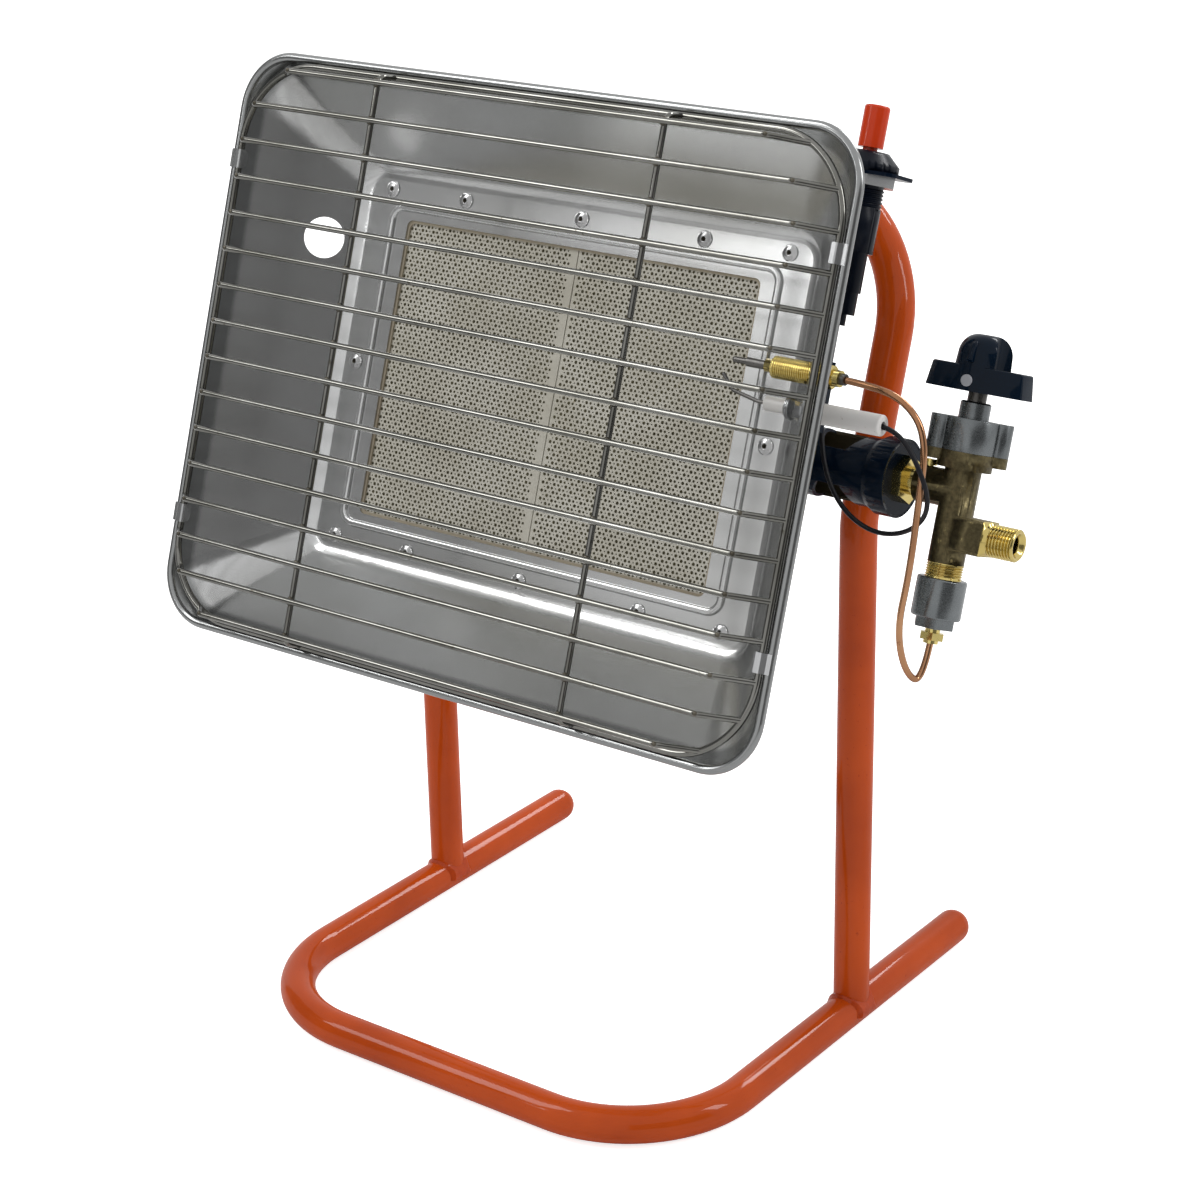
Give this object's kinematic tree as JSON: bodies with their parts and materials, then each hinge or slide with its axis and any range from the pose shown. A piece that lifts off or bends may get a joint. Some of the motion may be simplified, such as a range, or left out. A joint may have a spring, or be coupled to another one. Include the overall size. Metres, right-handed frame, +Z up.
{
  "type": "portable propane radiant heater",
  "caption": "Gas radiant heater: ceramic burner in a drawn reflector behind a wire grille, on a bent tube stand, with valve, knob, flame sensor and piezo igniter.",
  "frame": {"origin": "on the floor, midway between the two legs and midway along them", "axes": "+Z up; the head faces -Y, leaning back; +X points to the gas valve's side"},
  "size_m": [0.3673, 0.2528, 0.4212],
  "materials": {
    "orange_paint": "gloss powder coat",
    "reflector_steel": "drawn bright sheet, satin",
    "plated_wire": "bright plating",
    "zinc_plate": "zinc plated",
    "rivet_alloy": "satin",
    "zinc_casting": "dull die casting",
    "burner_ceramic": "matt, pierced",
    "fibre_gasket": "matt",
    "black_enamel": "gloss black",
    "cast_brass": "dull casting",
    "machined_brass": "turned",
    "copper_tube": "drawn copper",
    "dark_steel": "dark",
    "knob_plastic": "satin black",
    "black_plastic": "matt black",
    "red_plastic": "gloss red",
    "white_ceramic": "semi-matt glaze",
    "lead_rubber": "satin black"
  },
  "bodies": {
    "heater": {"base_frame": "orange_paint", "upright_hoop": "orange_paint", "weld_beads": "orange_paint", "hanger_plate": "orange_paint", "rear_bracket": "zinc_plate", "mount_bolts": "zinc_plate", "mount_nuts": "zinc_plate", "reflector": "reflector_steel", "burner_housing": "reflector_steel", "burner_rivets": "rivet_alloy", "tile_gasket": "fibre_gasket", "ceramic_tile_left": "burner_ceramic", "ceramic_tile_right": "burner_ceramic", "grille": "plated_wire", "grille_clips": "zinc_plate", "mixing_tube": "black_enamel", "mixing_tube_cover": "black_enamel", "gas_jet": "machined_brass", "valve_body": "cast_brass", "test_screw": "machined_brass", "valve_bonnet": "zinc_casting", "bonnet_screws": "zinc_plate", "spindle_sleeve": "zinc_casting", "magnet_cap": "zinc_casting", "magnet_unit": "dark_steel", "sensor_union_nut": "machined_brass", "sensor_tip": "dark_steel", "sensor_body": "machined_brass", "sensor_nut": "machined_brass", "sensor_capillary": "copper_tube", "electrode_ceramic": "white_ceramic", "electrode_wire": "dark_steel", "electrode_clamp": "zinc_plate", "clamp_screw": "zinc_plate", "sensor_bracket": "black_enamel", "igniter_body": "black_plastic", "igniter_nut": "zinc_plate", "igniter_bracket": "black_enamel", "ignition_lead": "lead_rubber", "sensor_ferrule": "dark_steel"},
    "valve_plug": {"valve_plug": "machined_brass"},
    "knob": {"knob": "knob_plastic", "valve_spindle": "dark_steel"},
    "igniter_button": {"igniter_button": "red_plastic"}
  },
  "joints": [
    {"name": "knob_turn", "type": "hinge", "parent": "heater", "child": "valve_plug", "pos_m": [0.1804, -0.00053, 0.27725], "axis": [0, 0.3256, 0.9455], "range_deg": [0, 150]},
    {"name": "knob_push", "type": "slide", "parent": "valve_plug", "child": "knob", "axis": [0, -0.3256, -0.9455], "range_m": [0, 0.005], "stiffness_N_per_m": 800, "springref_m": -0.003},
    {"name": "igniter_button_push", "type": "slide", "parent": "heater", "child": "igniter_button", "axis": [0, -0.3256, -0.9455], "range_m": [0, 0.008], "stiffness_N_per_m": 1000, "springref_m": -0.003}
  ]
}
